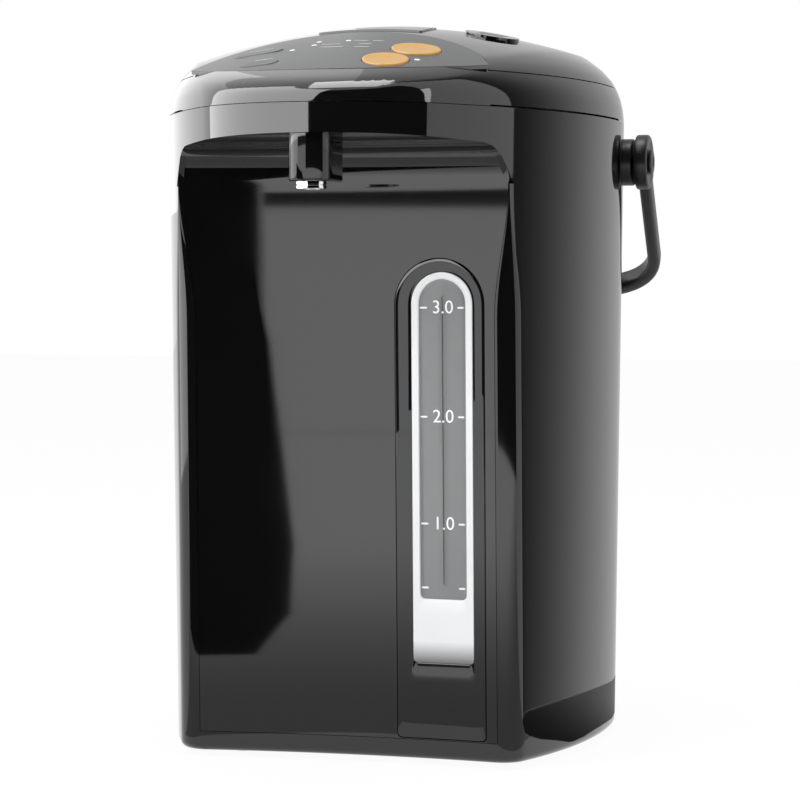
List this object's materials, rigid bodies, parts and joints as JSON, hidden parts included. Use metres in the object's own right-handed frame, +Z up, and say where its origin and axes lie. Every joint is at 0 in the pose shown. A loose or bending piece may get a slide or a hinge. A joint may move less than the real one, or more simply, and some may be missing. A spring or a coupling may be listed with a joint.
{
  "type": "electric thermo pot",
  "caption": "Upright electric hot-water pot with a beaked front, pump nozzle, water gauge, key panel, hinged lid and swinging bail handle.",
  "frame": {"origin": "on the supporting surface, under the centre of the object's box", "axes": "+Z up, -Y towards the nozzle and the keys, +X to the right seen from the front"},
  "size_m": [0.241, 0.3046, 0.346],
  "materials": {
    "gloss_black": "polished black moulded plastic",
    "panel_black": "polished dark grey front panel",
    "panel_grey": "satin grey printed overlay",
    "handle_black": "fine grained black plastic",
    "amber": "amber button cap",
    "key_grey": "satin grey key",
    "lamp": "pale indicator lens",
    "silver_trim": "silver grey frame",
    "smoke": "smoked cover",
    "clear": "clear pane",
    "scale": "dark scale",
    "chrome": "plated ring",
    "steel": "drawn steel",
    "aluminium": "cast plate",
    "rubber": "black rubber",
    "seal": "pale silicone",
    "board": "green circuit board",
    "inner_plastic": "grey inner plastic",
    "brass": "contact"
  },
  "bodies": {
    "pot": {"body_shell": "gloss_black", "front_panel": "panel_black", "handle_boss_left": "handle_black", "handle_boss_right": "handle_black", "handle_pin_left": "handle_black", "handle_pin_right": "handle_black", "top_cover": "gloss_black", "hinge_pin": "steel", "control_panel": "panel_grey", "indicator_lamps": "lamp", "control_board": "board", "inner_pot": "steel", "pot_seal": "seal", "heat_plate": "aluminium", "heater_ring": "steel", "thermostat": "inner_plastic", "thermal_fuse": "inner_plastic", "pump_housing": "inner_plastic", "pump_motor": "steel", "inlet_pipe": "seal", "lower_riser": "seal", "upper_riser": "seal", "gauge_tube": "clear", "nozzle_body": "gloss_black", "nozzle_ring": "chrome", "gauge_cover": "smoke", "gauge_frame": "silver_trim", "gauge_pane": "clear", "gauge_holder": "inner_plastic", "gauge_scale": "scale", "base_plate": "inner_plastic", "base_screws": "steel", "rubber_feet": "rubber", "power_board": "board", "power_board_parts": "inner_plastic", "power_inlet": "inner_plastic", "inlet_contacts": "brass"},
    "lid": {"lid_cover": "gloss_black", "steam_cap": "gloss_black", "lid_base": "inner_plastic", "lid_plug": "steel", "lid_seal": "seal", "lever_pin": "steel"},
    "lever": {"lid_lever": "gloss_black"},
    "handle": {"bail_handle": "handle_black"},
    "dispense_key": {"dispense_button": "amber"},
    "unlock_key": {"unlock_button": "amber"},
    "reheat_switch": {"reheat_key": "key_grey"},
    "temperature_switch": {"temperature_key": "key_grey"},
    "rotor": {"pump_rotor": "inner_plastic"}
  },
  "joints": [
    {"name": "lid_hinge", "type": "hinge", "parent": "pot", "child": "lid", "pos_m": [0, 0.11848, 0.327], "axis": [-1, 0, 0], "range_deg": [0, 80]},
    {"name": "lever_hinge", "type": "hinge", "parent": "lid", "child": "lever", "pos_m": [0, -0.01212, 0.34038], "axis": [-1, 0, 0], "range_deg": [0, 25], "stiffness_Nm_per_rad": 0.05, "springref_deg": -11.46},
    {"name": "handle_hinge", "type": "hinge", "parent": "pot", "child": "handle", "pos_m": [0, 0.05148, 0.281], "axis": [1, 0, 0], "range_deg": [0, 125]},
    {"name": "dispense_press", "type": "slide", "parent": "pot", "child": "dispense_key", "axis": [-0.1226, 0.2739, -0.9539], "range_m": [0, 0.001], "stiffness_N_per_m": 700},
    {"name": "unlock_press", "type": "slide", "parent": "pot", "child": "unlock_key", "axis": [-0.0923, 0.3202, -0.9428], "range_m": [0, 0.001], "stiffness_N_per_m": 700},
    {"name": "reheat_press", "type": "slide", "parent": "pot", "child": "reheat_switch", "axis": [0.1354, 0.2693, -0.9535], "range_m": [0, 0.001], "stiffness_N_per_m": 700},
    {"name": "temperature_press", "type": "slide", "parent": "pot", "child": "temperature_switch", "axis": [0.1062, 0.3207, -0.9412], "range_m": [0, 0.001], "stiffness_N_per_m": 700},
    {"name": "pump_spin", "type": "hinge", "parent": "pot", "child": "rotor", "pos_m": [0, -0.04152, 0.032], "axis": [0, 0, 1], "continuous": true}
  ]
}
